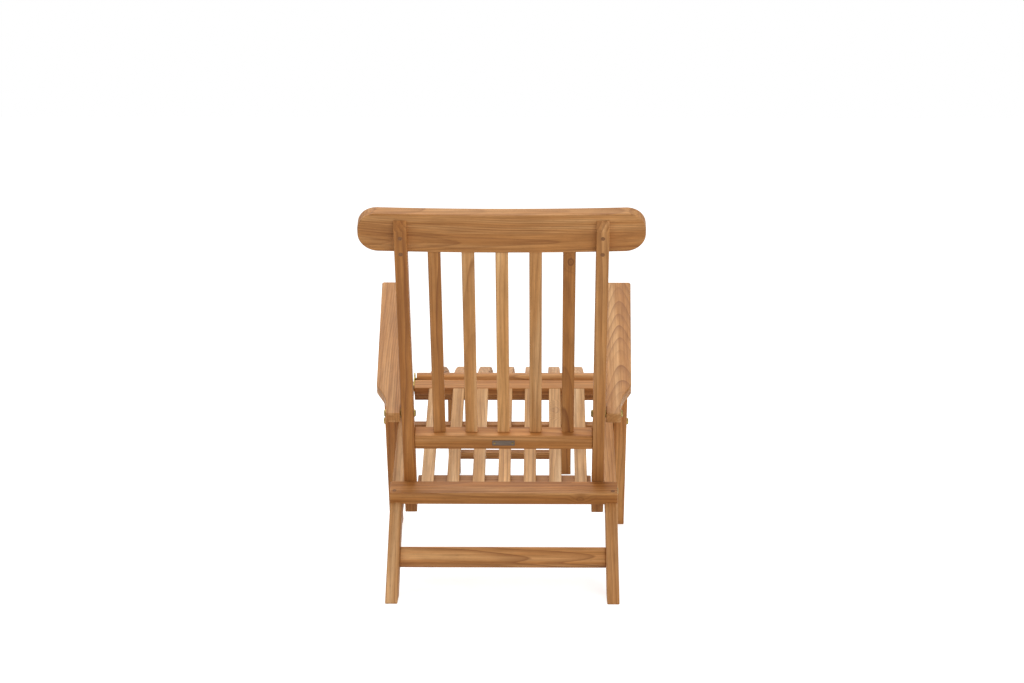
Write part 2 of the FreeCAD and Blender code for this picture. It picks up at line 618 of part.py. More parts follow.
# Footrest: a rear rail on two brass brackets, curved bearers and slats, and a folding leg frame.
def arc_point(depth, turn):
    """A point below the top of the slats by depth, after a turn along the footrest's curve."""
    reach = f"(foot_radius - ({depth}))"
    return (f"foot_start + {reach} * sin(({turn}) * 1deg)",
            f"foot_start - foot_radius + {reach} * cos(({turn}) * 1deg)")


def make_curved(label, x, thick, top, depth, start, end, corner=None):
    """A board along the footrest's curve, between two turns. corner rounds its lower end at the knee."""
    body = new_body(label)
    corners = [arc_point(top, start), arc_point(top, end), arc_point(f"{top} + {depth}", end),
               arc_point(f"{top} + {depth}", start)]
    arcs = {0: (f"foot_radius - ({top})", 1), 2: (f"foot_radius - ({top}) - ({depth})", -1)}
    outline(body, "YZ_Plane", corners, thick, arcs)
    if corner:
        ease(body, corner, corner_at("x", corners[3]))
    ease(body)
    settle(body, footrest, x)
    return body


def make_foot_rail():
    body = new_body("footrest_rear_rail")
    half = "foot_rail / 2"
    corners = [(f"-{half}", f"-{half}"), (half, f"-{half}"), (half, half), (f"-{half}", half)]
    outline(body, "YZ_Plane", corners, "2 * foot_rail_half")
    ease(body, "foot_rail_round", corner_at("x", corners[0], corners[3]))
    ease(body, "edge_round", corner_at("x", corners[1], corners[2]))
    bore(body, "foot_pin_radius + run", "0", "0", "foot_pin_long")
    bore(body, "foot_pin_radius + run", "0", "0", "foot_pin_long", "2 * foot_rail_half - foot_pin_long")
    settle(body, footrest, "-foot_rail_half")


make_foot_rail()
for slat in range(SLATS):
    across = f"({slat} - (slat_count - 1) / 2) * slat_pitch - slat_wide / 2"
    make_curved(f"footrest_slat_{slat + 1}", across, "slat_wide", "0", "foot_slat_thick", "0", "foot_sweep")
for side_name, side_sign in SIDES:
    across = sided(side_sign, "bearer_out - bearer_thick", "bearer_thick")
    bearer = make_curved("footrest_bearer_" + side_name, across, "bearer_thick", "foot_slat_thick",
                         "bearer_depth", "0", "foot_sweep", "bearer_round")
    bore(bearer, "bolt_radius + run", "foot_leg_local_y", "foot_leg_local_z", "bearer_thick")


def make_foot_cross(name, along):
    """A cross rail between the bearers, square to the curve at a length along it."""
    turn = f"({along}) / foot_radius * 180 / pi"
    y, z = arc_point("foot_slat_thick + foot_cross_thick", turn)
    datum = doc.addObject("App::Placement", name + "_datum")
    place = bound(f"placement(vector(0; {y}; {z}); rotation(vector(1; 0; 0); -({turn})))")
    datum.setExpression("Placement", f"{footrest}.Placement * {place}")
    board(name, datum.Name, ("-bearer_out + bearer_thick", "-foot_cross_wide / 2", "0"),
          ("2 * (bearer_out - bearer_thick)", "foot_cross_wide", "foot_cross_thick"))


make_foot_cross("footrest_cross_rail_middle", "foot_cross_at")
make_foot_cross("footrest_cross_rail_far", "foot_length - foot_end_back - foot_cross_wide / 2")


def make_foot_leg(name, side):
    body = new_body("footrest_leg_" + name)
    half = "foot_leg_depth / 2"
    slant = "foot_leg_lean * 1deg"
    corners = [(f"-{half}", f"-(foot_leg_z - {half} * sin({slant})) / cos({slant})"),
               (half, f"-(foot_leg_z + {half} * sin({slant})) / cos({slant})"),
               (half, half), (f"-{half}", half)]
    outline(body, "YZ_Plane", corners, "foot_leg_wide")
    ease(body, "0.45 * foot_leg_depth", corner_at("x", corners[2], corners[3]))
    ease(body)
    bore(body, "bolt_radius + run", "0", "0", "foot_leg_wide")
    settle(body, foot_leg, sided(side, "foot_leg_in", "foot_leg_wide"))


def make_bracket(name, side):
    body = new_body("footrest_bracket_" + name, False)
    corners = [("-bracket_back", "-bracket_half"), ("bracket_eye", "-bracket_eye"),
               ("bracket_eye", "bracket_eye"), ("-bracket_back", "bracket_half")]
    outline(body, "YZ_Plane", corners, "bracket_thick")
    ease(body, "0.8 * bracket_eye", corner_at("x", corners[1], corners[2]))
    ease(body, "0.8 * bracket_half", corner_at("x", corners[0], corners[3]))
    bore(body, "foot_pin_radius + run", "0", "0", "bracket_thick")
    settle(body, seat, sided(side, "rail_in - bracket_thick", "bracket_thick"), "foot_along", "-foot_drop")
    return body


foot_pins = []
foot_leg_bolts = []
FOOT_PIN = "rail_in - (foot_rail_half - foot_pin_long + rest_gap)"
FOOT_BOLT = "bearer_out + rest_gap - foot_leg_in"
for side_name, side_sign in SIDES:
    make_foot_leg(side_name, side_sign)
    outer = "end" if side_sign > 0 else "start"
    foot_pins.append(rod("foot_pin_" + side_name, seat,
                         sided(side_sign, "foot_rail_half - foot_pin_long + rest_gap", FOOT_PIN),
                         "foot_along", "-foot_drop", FOOT_PIN, "foot_pin_radius"))
    foot_leg_bolts.append(rod("foot_leg_bolt_" + side_name, footrest,
                              sided(side_sign, "foot_leg_in", FOOT_BOLT), "foot_leg_local_y",
                              "foot_leg_local_z", FOOT_BOLT, "bolt_radius", (outer,)))
BAR_AT = "-(foot_leg_z - foot_bar_height) / cos(foot_leg_lean * 1deg)"
board("footrest_leg_rail", foot_leg, ("-foot_leg_in", "-foot_bar_thick / 2", BAR_AT),
      ("2 * foot_leg_in", "foot_bar_thick", "foot_bar_high"))
group("footrest_brackets", [make_bracket(*side) for side in SIDES])
group("footrest_pins", foot_pins)
group("footrest_leg_bolts", foot_leg_bolts)

# Put the origin under the middle of the outline, then check every object and write the nodes.
doc.recompute()
whole = Part.Compound([node.Shape for node in NODES]).BoundBox
sheet.set(f"A{CENTRE_ROW}", str(-(whole.YMin + whole.YMax) / 2))
doc.recompute()
for item in doc.Objects:
    if {"Invalid", "Error"} & set(item.State):
        raise RuntimeError(f"{item.Label} failed: {item.State}")
for node in NODES:
    if node.Shape.isNull() or not node.Shape.isValid():
        raise RuntimeError(f"{node.Label} has no valid shape")
os.makedirs("parts", exist_ok=True)
for node in NODES:
    node.Shape.exportStep(f"parts/{node.Label}.step")
box = Part.Compound([node.Shape for node in NODES]).BoundBox
print(f"{len(NODES)} nodes, {box.XLength:.1f} x {box.YLength:.1f} x {box.ZLength:.1f} mm")
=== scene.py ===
"""Looks of a folding teak steamer chair: teak, brass and steel finishes, plugs, floor, light and camera."""
import json
import logging
import math
from dataclasses import dataclass, field
from enum import Enum

import bmesh
import bpy
import numpy as np
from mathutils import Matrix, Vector

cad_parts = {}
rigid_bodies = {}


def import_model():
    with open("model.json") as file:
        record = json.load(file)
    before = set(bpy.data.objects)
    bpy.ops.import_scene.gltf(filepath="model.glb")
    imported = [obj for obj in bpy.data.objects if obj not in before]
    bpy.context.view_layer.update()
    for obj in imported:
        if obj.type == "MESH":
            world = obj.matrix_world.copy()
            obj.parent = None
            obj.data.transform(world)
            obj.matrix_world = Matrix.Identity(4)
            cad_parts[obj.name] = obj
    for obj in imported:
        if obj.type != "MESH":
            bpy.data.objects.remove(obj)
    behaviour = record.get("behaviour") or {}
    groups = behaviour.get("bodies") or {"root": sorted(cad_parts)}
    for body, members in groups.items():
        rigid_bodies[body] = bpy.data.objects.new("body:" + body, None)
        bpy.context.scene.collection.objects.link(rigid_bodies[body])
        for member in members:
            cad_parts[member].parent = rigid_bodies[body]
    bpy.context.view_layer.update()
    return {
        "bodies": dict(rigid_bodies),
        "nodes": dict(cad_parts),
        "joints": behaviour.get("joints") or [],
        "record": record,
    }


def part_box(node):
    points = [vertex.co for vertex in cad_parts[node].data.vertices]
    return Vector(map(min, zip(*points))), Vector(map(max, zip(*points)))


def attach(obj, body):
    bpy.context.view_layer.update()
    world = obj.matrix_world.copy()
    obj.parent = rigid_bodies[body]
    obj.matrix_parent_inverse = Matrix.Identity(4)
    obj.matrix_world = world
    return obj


LOG = logging.getLogger("steamer_chair")
MM = 0.001
Colour = tuple[float, float, float, float]
WHITE: Colour = (1.0, 1.0, 1.0, 1.0)

# Places of a mixing node's sockets, whose names are not unique.
COLOUR_A = 6
COLOUR_B = 7
COLOUR_OUT = 2
VECTOR_A = 4
VECTOR_B = 5
VECTOR_OUT = 1

# Change of red, green and blue for one step of a board's warmth.
WARMTH = (0.055, -0.03, -0.18)


class Grain(Enum):
    """Which way a board's length runs."""

    ALONG = "along"
    ACROSS = "across"


class Cut(Enum):
    """How a board was sawn: the log's heart in millimetres from its middle, and the rise of its rings."""

    QUARTER = (85.0, 6.0, 0.014)
    FLAT = (9.0, -42.0, 0.045)
    RIFT = (48.0, -40.0, 0.014)
    CROWN = (5.0, -18.0, 0.05)
    ARCHED = (6.0, -30.0, 0.12)


class Branch(Enum):
    """Which way the branch that left a knot ran: through the board's face or out of its edge."""

    THROUGH = (1.0, 0.0)
    EDGEWAYS = (0.0, 1.0)


def srgb(code: str, gain: float = 1.0) -> Colour:
    """Turn an sRGB hex colour to linear light.

    Args:
        code: six hex digits after a hash.
        gain: factor on the linear light.

    Returns:
        Linear red, green, blue and alpha.
    """
    parts = np.array([int(code[i:i + 2], 16) for i in (1, 3, 5)]) / 255.0
    linear = np.where(parts <= 0.04045, parts / 12.92, ((parts + 0.055) / 1.055) ** 2.4)
    return (*np.clip(linear * gain, 0.0, 1.0).tolist(), 1.0)


def grey(level: float, cast: float = 0.0) -> Colour:
    """Give a factor on a colour, with a cast above 0 for more loss of green and blue than of red."""
    return (level, level - cast, level - 2.0 * cast, 1.0)


def node(tree: bpy.types.NodeTree, kind: str, links: dict | None = None, values: dict | None = None,
         stops: list | None = None, **settings: object) -> bpy.types.Node:
    """Add a shader node with its settings, values and incoming links.

    Args:
        tree: the node tree to add to.
        kind: Blender's node type.
        links: input name or number to the output socket that feeds it.
        values: input name or number to a fixed value.
        stops: place and colour of each stop of a colour ramp, in order.
        **settings: attributes of the node itself.

    Returns:
        The new node.
    """
    made = tree.nodes.new(kind)
    for name, setting in settings.items():
        setattr(made, name, setting)
    for name, value in (values or {}).items():
        made.inputs[name].default_value = value
    for name, socket in (links or {}).items():
        tree.links.new(socket, made.inputs[name])
    for i, (place, colour) in enumerate(stops or ()):
        elements = made.color_ramp.elements
        element = elements[i] if i < len(elements) else elements.new(place)
        element.position = place
        element.color = colour
    return made


def new_material(name: str) -> tuple[bpy.types.Material, bpy.types.NodeTree, bpy.types.Node]:
    """Start a node material.

    Args:
        name: the material's name.

    Returns:
        The material, its tree and its Principled shader.
    """
    material = bpy.data.materials.new(name)
    material.use_nodes = True
    tree = material.node_tree
    return material, tree, tree.nodes["Principled BSDF"]


@dataclass(frozen=True)
class Span:
    """Two levels of a pattern, start and end, and the values that they become."""

    start: float
    end: float
    first: float
    last: float

    def values(self) -> dict[str, float]:
        """Give the span as inputs of a range."""
        return {"From Min": self.start, "From Max": self.end, "To Min": self.first, "To Max": self.last}


@dataclass(frozen=True)
class Mark:
    """A pattern drawn out along a board.

    Its sizes are the millimetres across and along the board of one mark, and its octaves are of finer marks.
    Dark and light are factors on the wood's colour, reached at the pattern's low and high levels. At the
    middle level the colour is left as it is.
    """

    across: float
    along: float
    octaves: float
    dark: Colour = WHITE
    light: Colour = WHITE
    fineness: float = 0.55
    low: float = 0.27
    middle: float = 0.5
    high: float = 0.73

    def draw(self, tree: bpy.types.NodeTree, place: bpy.types.NodeSocket) -> bpy.types.NodeSocket:
        """Draw the pattern.

        Args:
            tree: the node tree to add to.
            place: the board's coordinates, in metres.

        Returns:
            The pattern's level, about 0.5 with dark marks below and light ones above.
        """
        wide, long = (1.0 / (size * MM) for size in (self.across, self.along))
        spread = node(tree, "ShaderNodeVectorMath", {0: place}, {1: (wide, long, wide)}, operation="MULTIPLY")
        return node(tree, "ShaderNodeTexNoise", {"Vector": spread.outputs[0]},
                    {"Scale": 1.0, "Detail": self.octaves, "Roughness": self.fineness}).outputs["Fac"]

    def shade(self, tree: bpy.types.NodeTree, level: bpy.types.NodeSocket,
              colour: bpy.types.NodeSocket) -> bpy.types.NodeSocket:
        """Darken and lighten a colour by the pattern.

        Args:
            tree: the node tree to add to.
            level: the pattern's level.
            colour: the colour to shade.

        Returns:
            The shaded colour.
        """
        factor = node(tree, "ShaderNodeValToRGB", {0: level},
                      stops=[(self.low, self.dark), (self.middle, WHITE), (self.high, self.light)])
        return node(tree, "ShaderNodeMix", {COLOUR_A: colour, COLOUR_B: factor.outputs["Color"]}, {0: 1.0},
                    data_type="RGBA", blend_type="MULTIPLY").outputs[COLOUR_OUT]


@dataclass(frozen=True)
class Datum:
    """A frame in the chair's side view, in metres: along runs up its slope and out is square to it."""

    y: float
    z: float
    slope: float

    def point(self, x: float, along: float, out: float) -> np.ndarray:
        """Place a point.

        Args:
            x: across, in metres.
            along: metres along the slope.
            out: metres square to the slope, upwards for a level one.

        Returns:
            The point in the chair's own frame.
        """
        turn = math.radians(self.slope)
        return np.array([x, self.y + along * math.cos(turn) - out * math.sin(turn),
                         self.z + along * math.sin(turn) + out * math.cos(turn)])

    def normal(self) -> np.ndarray:
        """Give the direction square to the slope."""
        return self.point(0.0, 0.0, 1.0) - self.point(0.0, 0.0, 0.0)


@dataclass(frozen=True)
class Knot:
    """A small knot: millimetres from the board's middle, its radius, depth of colour and rings round it."""

    across: float
    along: float
    through: float = 0.0
    radius: float = 6.0
    depth: float = 0.8
    rings: float = 2.4
    branch: Branch = Branch.THROUGH


@dataclass(frozen=True)
class Board:
    """One board's own cut of teak.

    The slope is the rise of its length, in degrees about X, and the seed picks its place in the log. The tone
    is a factor on the light it returns, and its warmth makes it redder. A bend is where a sawn-to-shape
    member turns, with the slope behind it.
    """

    node: str
    slope: float
    seed: int
    grain: Grain = Grain.ALONG
    cut: Cut = Cut.RIFT
    tone: float = 1.0
    warmth: float = 0.0
    bend: Datum | None = None
    knot: Knot | None = None

    def tint(self, code: str) -> Colour:
        """Give one of the wood's colours as this board has it.

        Args:
            code: the colour as sRGB hex.

        Returns:
            The colour in linear light.
        """
        parts = zip(srgb(code, self.tone), WARMTH)
        return (*(min(1.0, part * (1 + change * self.warmth)) for part, change in parts), 1.0)


@dataclass(frozen=True)
class Teak:
    """Oiled teak, planed and sanded: warm honey body, soft dark ring lines, short open pores, a low sheen.

    Each spread is the least and most of a factor that a board draws for itself, and each shape is the levels
    of a ring or a knot at places across it.
    """

    pale: str = "#cd9c67"
    body: str = "#b47d46"
    late: str = "#a16a35"
    line: str = "#7c4a22"
    pore: str = "#6f4220"
    drift_places: tuple = (0.28, 0.5, 0.74)
    drift: Mark = Mark(24.0, 700.0, 2.0)
    streak: Mark = Mark(6.0, 320.0, 3.0, grey(0.83, 0.02), grey(1.12))
    cloud: Mark = Mark(30.0, 90.0, 3.0, grey(0.86, 0.01), grey(1.12))
    # Fibres and pores are finer in the real wood, and are drawn as coarse as they need to show.
    fibre: Mark = Mark(1.6, 90.0, 4.0, grey(0.80, 0.03), grey(1.14))
    pores: Mark = Mark(1.0, 14.0, 1.0)
    pore_depth: Span = Span(0.64, 0.74, 0.0, 0.34)
    log_reach: float = 0.4
    bend_zone: Span = Span(-20 * MM, 20 * MM, 0.0, 1.0)
    waver_mm: tuple = (125.0, 520.0)
    waver_octaves: float = 2.0
    waver_reach_mm: float = 26.0
    heart_spread: tuple = (0.7, 1.2)
    depth_spread: tuple = (0.75, 1.25)
    rise_spread: tuple = (0.7, 1.3)
    ring_mm: float = 7.0
    ring_spread: tuple = (0.85, 1.5)
    ring_shape: tuple = ((0.0, 0.0), (0.4, 0.06), (0.82, 0.6), (0.93, 1.0), (1.0, 0.0))
    ring_strength: Span = Span(0.0, 1.0, 0.28, 0.95)
    ring_cloud: Mark = Mark(45.0, 420.0, 3.0)
    ring_shown: Span = Span(0.3, 0.62, 0.3, 1.0)
    knot_shape: tuple = ((0.0, 0.5), (0.4, 0.25), (0.72, 1.0), (1.0, 0.0))
    knot_reach: float = 3.6
    knot_narrowing: float = 0.65
    roughness: Span = Span(0.3, 0.7, 0.65, 0.49)
    relief: float = 0.22
    relief_mm: float = 0.5
    ior: float = 1.5
    specular: float = 0.3

    def material(self, board: Board) -> bpy.types.Material:
        """Make one board's teak: growth rings round a heart beside it, streaks, fibres and pores along it.

        Args:
            board: the board and how it was cut.

        Returns:
            The board's own material.
        """
        material, tree, shader = new_material("oiled_teak_" + board.node)
        random = np.random.default_rng(board.seed)
        local = self._board_place(tree, board)
        shift = random.uniform(-self.log_reach, self.log_reach, 3).tolist()
        moved = node(tree, "ShaderNodeVectorMath", {0: local}, {1: shift}, operation="ADD").outputs[0]
        tints = [board.tint(code) for code in (self.late, self.body, self.pale)]
        colour = node(tree, "ShaderNodeValToRGB", {0: self.drift.draw(tree, moved)},
                      stops=list(zip(self.drift_places, tints))).outputs["Color"]
        fibre = self.fibre.draw(tree, moved)
        colour = self.streak.shade(tree, self.streak.draw(tree, moved), colour)
        colour = self.cloud.shade(tree, self.cloud.draw(tree, moved), colour)
        colour = self.fibre.shade(tree, fibre, colour)
        ring = self._rings(tree, board, local, moved, random)
        colour = node(tree, "ShaderNodeMix", {0: ring, COLOUR_A: colour}, {COLOUR_B: board.tint(self.line)},
                      data_type="RGBA").outputs[COLOUR_OUT]
        hollow = node(tree, "ShaderNodeMapRange", {"Value": self.pores.draw(tree, moved)},
                      self.pore_depth.values()).outputs[0]
        colour = node(tree, "ShaderNodeMix", {0: hollow, COLOUR_A: colour}, {COLOUR_B: board.tint(self.pore)},
                      data_type="RGBA").outputs[COLOUR_OUT]
        if board.knot:
            stops = [(place, grey(level * board.knot.depth)) for place, level in self.knot_shape]
            dark = node(tree, "ShaderNodeValToRGB", {0: self._knot_distance(tree, board.knot, local)},
                        stops=stops).outputs["Color"]
            colour = node(tree, "ShaderNodeMix", {0: dark, COLOUR_A: colour},
                          {COLOUR_B: board.tint(self.pore)}, data_type="RGBA").outputs[COLOUR_OUT]
        tree.links.new(colour, shader.inputs["Base Color"])
        rough = node(tree, "ShaderNodeMapRange", {"Value": fibre}, self.roughness.values())
        tree.links.new(rough.outputs[0], shader.inputs["Roughness"])
        height = node(tree, "ShaderNodeMath", {0: fibre, 1: hollow}, operation="SUBTRACT")
        bump = node(tree, "ShaderNodeBump", {"Height": height.outputs[0]},
                    {"Strength": self.relief, "Distance": self.relief_mm * MM})
        tree.links.new(bump.outputs[0], shader.inputs["Normal"])
        shader.inputs["IOR"].default_value = self.ior
        shader.inputs["Specular IOR Level"].default_value = self.specular
        return material

    def _board_place(self, tree: bpy.types.NodeTree, board: Board) -> bpy.types.NodeSocket:
        """Turn object coordinates to the board's own: across, along its length, and through it.

        Args:
            tree: the node tree to add to.
            board: the board.

        Returns:
            The coordinates, in metres from the board's middle or from its bend.
        """
        low, high = (np.array(corner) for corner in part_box(board.node))
        middle = (low + high) / 2
        slope = math.radians(board.slope)
        turn = (slope, 0.0, 0.0) if board.grain is Grain.ALONG else (0.0, slope, -math.pi / 2)
        place = node(tree, "ShaderNodeTexCoord").outputs["Object"]
        if board.bend is None:
            return node(tree, "ShaderNodeMapping", {"Vector": place},
                        {"Location": middle.tolist(), "Rotation": turn}, vector_type="TEXTURE").outputs[0]
        start = (middle[0], board.bend.y, board.bend.z)
        ahead = node(tree, "ShaderNodeMapping", {"Vector": place}, {"Location": start, "Rotation": turn},
                     vector_type="TEXTURE").outputs[0]
        behind = node(tree, "ShaderNodeMapping", {"Vector": place},
                      {"Location": start, "Rotation": (math.radians(board.bend.slope), 0.0, 0.0)},
                      vector_type="TEXTURE").outputs[0]
        along = node(tree, "ShaderNodeSeparateXYZ", {0: ahead}).outputs["Y"]
        past = node(tree, "ShaderNodeMapRange", {"Value": along}, self.bend_zone.values())
        return node(tree, "ShaderNodeMix", {0: past.outputs[0], VECTOR_A: behind, VECTOR_B: ahead},
                    data_type="VECTOR").outputs[VECTOR_OUT]

    def _rings(self, tree: bpy.types.NodeTree, board: Board, local: bpy.types.NodeSocket,
               moved: bpy.types.NodeSocket, random: np.random.Generator) -> bpy.types.NodeSocket:
        """Draw growth rings: lines of equal distance to the heart, bent by slow noise and rising along it.

        Each ring has a strength of its own, darkens towards its late wood and ends at once. Clouds hide some.

        Args:
            tree: the node tree to add to.
            board: the board.
            local: the board's coordinates.
            moved: the same, shifted to the board's own part of the noise.
            random: the board's own random numbers.

        Returns:
            The share of late wood, from 0 to 1.
        """
        wide, long = (1.0 / (size * MM) for size in self.waver_mm)
        spread = node(tree, "ShaderNodeVectorMath", {0: moved}, {1: (wide, long, wide)},
                      operation="MULTIPLY").outputs[0]
        slow = node(tree, "ShaderNodeTexNoise", {"Vector": spread},
                    {"Scale": 1.0, "Detail": self.waver_octaves})
        bent = node(tree, "ShaderNodeVectorMath", {0: slow.outputs["Color"]}, {1: (0.5, 0.5, 0.5)},
                    operation="SUBTRACT").outputs[0]
        beside, under, rise = board.cut.value
        side = -1.0 if random.random() < 0.5 else 1.0
        heart = np.array([side * beside * random.uniform(*self.heart_spread), 0.0,
                          under * random.uniform(*self.depth_spread)]) * MM
        flat = node(tree, "ShaderNodeVectorMath", {0: local}, {1: (1.0, 0.0, 1.0), 2: (-heart).tolist()},
                    operation="MULTIPLY_ADD").outputs[0]
        reach = self.waver_reach_mm * MM
        wavy = node(tree, "ShaderNodeVectorMath", {0: bent, 2: flat}, {1: (reach, 0.0, reach)},
                    operation="MULTIPLY_ADD").outputs[0]
        radius = node(tree, "ShaderNodeVectorMath", {0: wavy}, operation="LENGTH").outputs["Value"]
        length = node(tree, "ShaderNodeSeparateXYZ", {0: local}).outputs["Y"]
        taper = float(random.uniform(*self.rise_spread)) * rise
        cone = node(tree, "ShaderNodeMath", {0: length, 2: radius}, {1: taper}, operation="MULTIPLY_ADD")
        pitch = self.ring_mm * random.uniform(*self.ring_spread) * MM
        count = node(tree, "ShaderNodeMath", {0: cone.outputs[0]}, {1: 1.0 / pitch},
                     operation="MULTIPLY").outputs[0]
        if board.knot:
            swirl = node(tree, "ShaderNodeMapRange", {"Value": self._knot_distance(tree, board.knot, local)},
                         Span(0.0, self.knot_reach, board.knot.rings, 0.0).values(),
                         interpolation_type="SMOOTHERSTEP").outputs[0]
            count = node(tree, "ShaderNodeMath", {0: count, 1: swirl}, operation="ADD").outputs[0]
        place = node(tree, "ShaderNodeMath", {0: count}, operation="FRACT").outputs[0]
        number = node(tree, "ShaderNodeMath", {0: count}, operation="FLOOR").outputs[0]
        late = node(tree, "ShaderNodeValToRGB", {0: place},
                    stops=[(share, grey(level)) for share, level in self.ring_shape]).outputs["Color"]
        chance = node(tree, "ShaderNodeTexWhiteNoise", {"W": number}, noise_dimensions="1D").outputs["Value"]
        strength = node(tree, "ShaderNodeMapRange", {"Value": chance}, self.ring_strength.values()).outputs[0]
        shown = node(tree, "ShaderNodeMapRange", {"Value": self.ring_cloud.draw(tree, moved)},
                     self.ring_shown.values()).outputs[0]
        both = node(tree, "ShaderNodeMath", {0: strength, 1: shown}, operation="MULTIPLY").outputs[0]
        return node(tree, "ShaderNodeMath", {0: late, 1: both}, operation="MULTIPLY").outputs[0]

    def _knot_distance(self, tree: bpy.types.NodeTree, knot: Knot,
                       local: bpy.types.NodeSocket) -> bpy.types.NodeSocket:
        """Give the distance from a board's knot in knot radii, which are longer along the board than across.

        Args:
            tree: the node tree to add to.
            knot: the knot.
            local: the board's coordinates.

        Returns:
            The distance.
        """
        across, through = knot.branch.value
        scale = np.array([across, self.knot_narrowing, through]) / (knot.radius * MM)
        centre = np.array([knot.across, knot.along, knot.through]) * MM
        near = node(tree, "ShaderNodeVectorMath", {0: local},
                    {1: scale.tolist(), 2: (-centre * scale).tolist()}, operation="MULTIPLY_ADD").outputs[0]
        return node(tree, "ShaderNodeVectorMath", {0: near}, operation="LENGTH").outputs["Value"]


@dataclass(frozen=True)
class Brass:
    """Turned brass, left to tarnish: yellow with an olive cast, satin, duller in patches."""

    bright: str = "#a68e52"
    dull: str = "#77673a"
    shade_places: tuple = (0.35, 0.65)
    patch_mm: float = 9.0
    patch_octaves: float = 4.0
    # Turning marks are finer on the real metal, and are drawn as coarse as they need to show.
    scratch_mm: float = 0.5
    scratch_octaves: float = 2.0
    roughness: Span = Span(0.3, 0.7, 0.56, 0.35)
    relief: float = 0.08
    relief_mm: float = 0.2

    def material(self) -> bpy.types.Material:
        """Make the brass material.

        Returns:
            The material.
        """
        material, tree, shader = new_material("tarnished_turned_brass")
        place = node(tree, "ShaderNodeTexCoord").outputs["Object"]
        patch = node(tree, "ShaderNodeTexNoise", {"Vector": place},
                     {"Scale": 1.0 / (self.patch_mm * MM), "Detail": self.patch_octaves}).outputs["Fac"]
        colour = node(tree, "ShaderNodeValToRGB", {0: patch},
                      stops=list(zip(self.shade_places, (srgb(self.dull), srgb(self.bright)))))
        tree.links.new(colour.outputs["Color"], shader.inputs["Base Color"])
        scratch = node(tree, "ShaderNodeTexNoise", {"Vector": place},
                       {"Scale": 1.0 / (self.scratch_mm * MM), "Detail": self.scratch_octaves}).outputs["Fac"]
        rough = node(tree, "ShaderNodeMapRange", {"Value": patch}, self.roughness.values())
        tree.links.new(rough.outputs[0], shader.inputs["Roughness"])
        bump = node(tree, "ShaderNodeBump", {"Height": scratch},
                    {"Strength": self.relief, "Distance": self.relief_mm * MM})
        tree.links.new(bump.outputs[0], shader.inputs["Normal"])
        shader.inputs["Metallic"].default_value = 1.0
        return material


@dataclass(frozen=True)
class BrushedSteel:
    """Brushed stainless plate: grey with fine lines along its length."""

    light: str = "#847a70"
    dark: str = "#625950"
    shade_places: tuple = (0.3, 0.7)
    # Brush lines are finer on the real plate, and are drawn as coarse as they need to show.
    line_mm: float = 0.6
    line_long_mm: float = 60.0
    line_octaves: float = 3.0
    roughness: Span = Span(0.3, 0.7, 0.48, 0.33)
    relief: float = 0.15
    relief_mm: float = 0.1

    def material(self) -> bpy.types.Material:
        """Make the brushed steel material.

        Returns:
            The material.
        """
        material, tree, shader = new_material("brushed_stainless_steel")
        place = node(tree, "ShaderNodeTexCoord").outputs["Object"]
        fine = 1.0 / (self.line_mm * MM)
        spread = node(tree, "ShaderNodeVectorMath", {0: place},
                      {1: (1.0 / (self.line_long_mm * MM), fine, fine)}, operation="MULTIPLY")
        lines = node(tree, "ShaderNodeTexNoise", {"Vector": spread.outputs[0]},
                     {"Scale": 1.0, "Detail": self.line_octaves}).outputs["Fac"]
        colour = node(tree, "ShaderNodeValToRGB", {0: lines},
                      stops=list(zip(self.shade_places, (srgb(self.dark), srgb(self.light)))))
        tree.links.new(colour.outputs["Color"], shader.inputs["Base Color"])
        rough = node(tree, "ShaderNodeMapRange", {"Value": lines}, self.roughness.values())
        tree.links.new(rough.outputs[0], shader.inputs["Roughness"])
        bump = node(tree, "ShaderNodeBump", {"Height": lines},
                    {"Strength": self.relief, "Distance": self.relief_mm * MM})
        tree.links.new(bump.outputs[0], shader.inputs["Normal"])
        shader.inputs["Metallic"].default_value = 1.0
        return material


@dataclass(frozen=True)
class EndGrainPlug:
    """Teak plug over a screw, glued in and sanded off: end grain a little darker than the board."""

    light: str = "#94622f"
    dark: str = "#6a4120"
    shade_places: tuple = (0.35, 0.65)
    # Specks are the cut ends of pores, drawn as coarse as they need to show.
    speck_mm: float = 1.0
    speck_octaves: float = 3.0
    roughness: float = 0.62
    relief: float = 0.2
    relief_mm: float = 0.3

    def material(self) -> bpy.types.Material:
        """Make the plug material.

        Returns:
            The material.
        """
        material, tree, shader = new_material("sanded_teak_end_grain")
        place = node(tree, "ShaderNodeTexCoord").outputs["Object"]
        speck = node(tree, "ShaderNodeTexNoise", {"Vector": place},
                     {"Scale": 1.0 / (self.speck_mm * MM), "Detail": self.speck_octaves}).outputs["Fac"]
        colour = node(tree, "ShaderNodeValToRGB", {0: speck},
                      stops=list(zip(self.shade_places, (srgb(self.dark), srgb(self.light)))))
        tree.links.new(colour.outputs["Color"], shader.inputs["Base Color"])
        bump = node(tree, "ShaderNodeBump", {"Height": speck},
                    {"Strength": self.relief, "Distance": self.relief_mm * MM})
        tree.links.new(bump.outputs[0], shader.inputs["Normal"])
        shader.inputs["Roughness"].default_value = self.roughness
        return material


